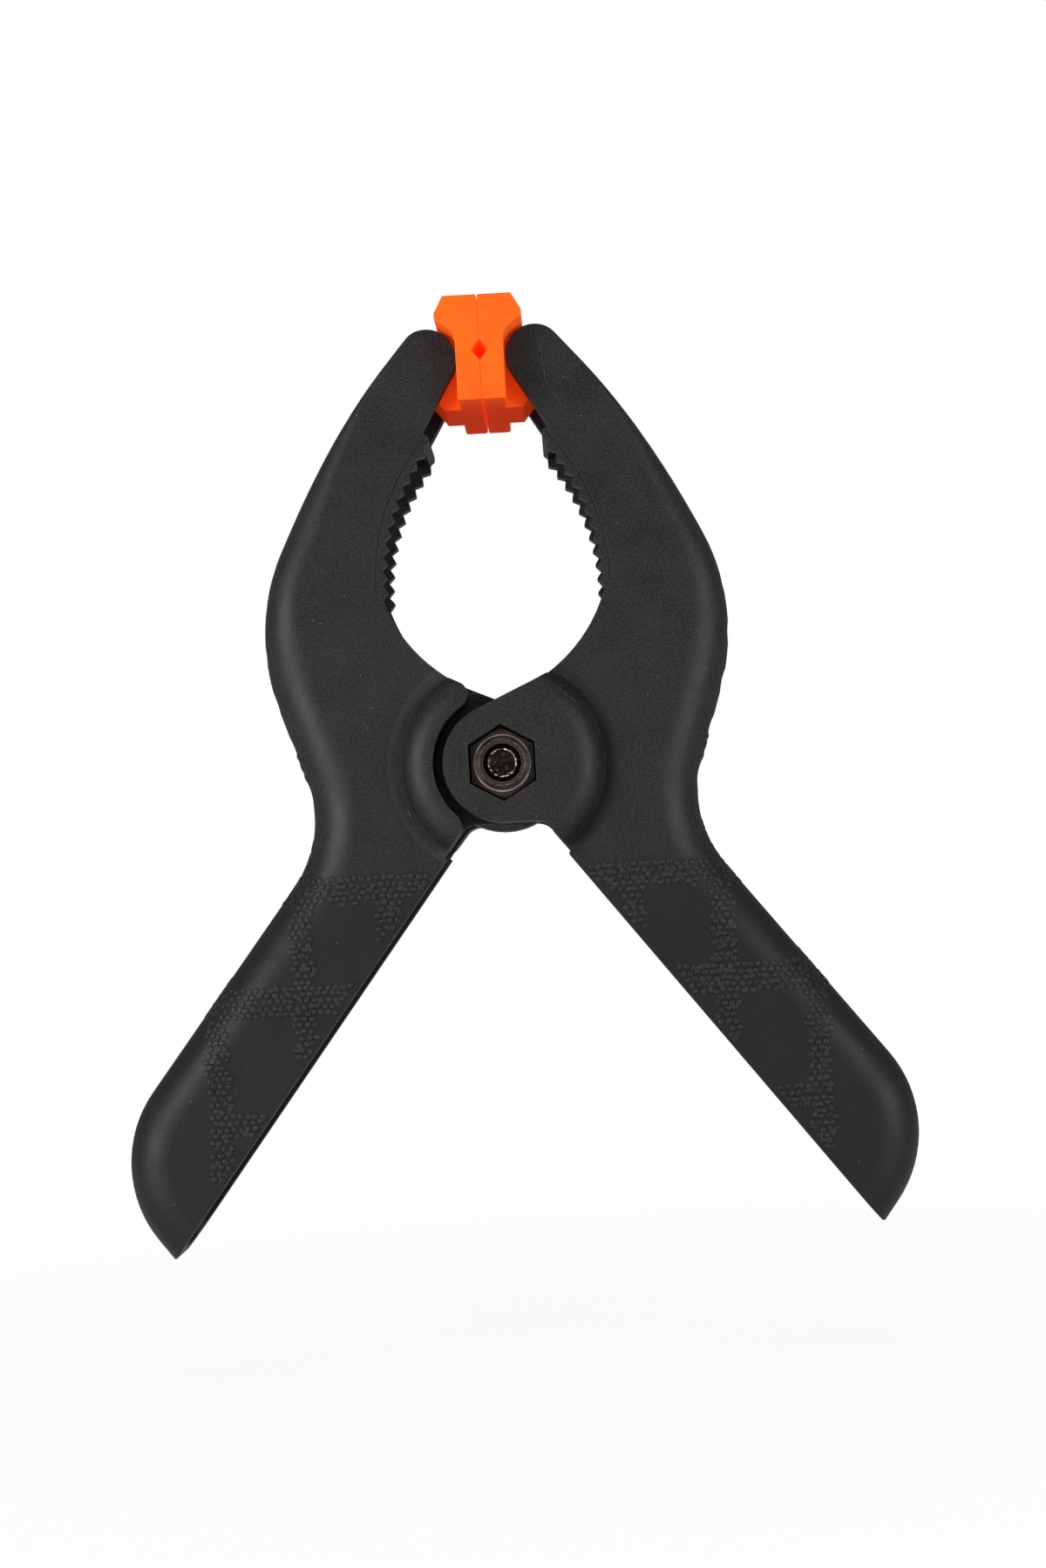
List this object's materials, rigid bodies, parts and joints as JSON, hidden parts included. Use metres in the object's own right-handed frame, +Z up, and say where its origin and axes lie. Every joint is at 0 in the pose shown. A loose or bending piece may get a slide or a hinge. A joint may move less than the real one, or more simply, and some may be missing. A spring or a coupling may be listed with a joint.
{
  "type": "spring clamp",
  "caption": "Hand-held spring clamp with two channel-shaped plastic levers on a bolted pivot, a torsion spring and swivelling jaw pads.",
  "frame": {"origin": "midway between the two handle ends, on the surface that they would stand on, in the clamp's middle plane", "axes": "+Z up through the pivot to the jaws, +X to the right arm, +Y away from the side that shows the lock nut"},
  "size_m": [0.1282, 0.028, 0.1509],
  "materials": {
    "arm_nylon": "fine-grained black glass-filled nylon",
    "pad_plastic": "smooth satin orange plastic",
    "dark_steel": "blackened steel, worn bright on its edges",
    "insert_nylon": "dark nylon ring",
    "spring_steel": "oiled dark spring wire"
  },
  "bodies": {
    "left_lever": {"left_arm": "arm_nylon", "pivot_bolt": "dark_steel", "torsion_spring": "spring_steel"},
    "right_lever": {"right_arm": "arm_nylon", "lock_nut": "dark_steel", "nut_insert": "insert_nylon"},
    "left_jaw_pad": {"left_pad": "pad_plastic"},
    "right_jaw_pad": {"right_pad": "pad_plastic"}
  },
  "joints": [
    {"name": "jaw_open", "type": "hinge", "parent": "left_lever", "child": "right_lever", "pos_m": [0, 0, 0.07687], "axis": [0, 1, 0], "range_deg": [0, 60], "stiffness_Nm_per_rad": 1.5, "springref_deg": -34.38, "deforming": ["torsion_spring"]},
    {"name": "left_pad_swivel", "type": "hinge", "parent": "left_lever", "child": "left_jaw_pad", "pos_m": [-0.0087, 0, 0.14217], "axis": [0, 1, 0], "range_deg": [0, 25]},
    {"name": "right_pad_swivel", "type": "hinge", "parent": "right_lever", "child": "right_jaw_pad", "pos_m": [0.0087, 0, 0.14217], "axis": [0, 1, 0], "range_deg": [-25, 0]}
  ],
  "couplings": [
    {"joint": "left_pad_swivel", "follows": "jaw_open", "ratio": 0.4},
    {"joint": "right_pad_swivel", "follows": "jaw_open", "ratio": -0.4}
  ]
}
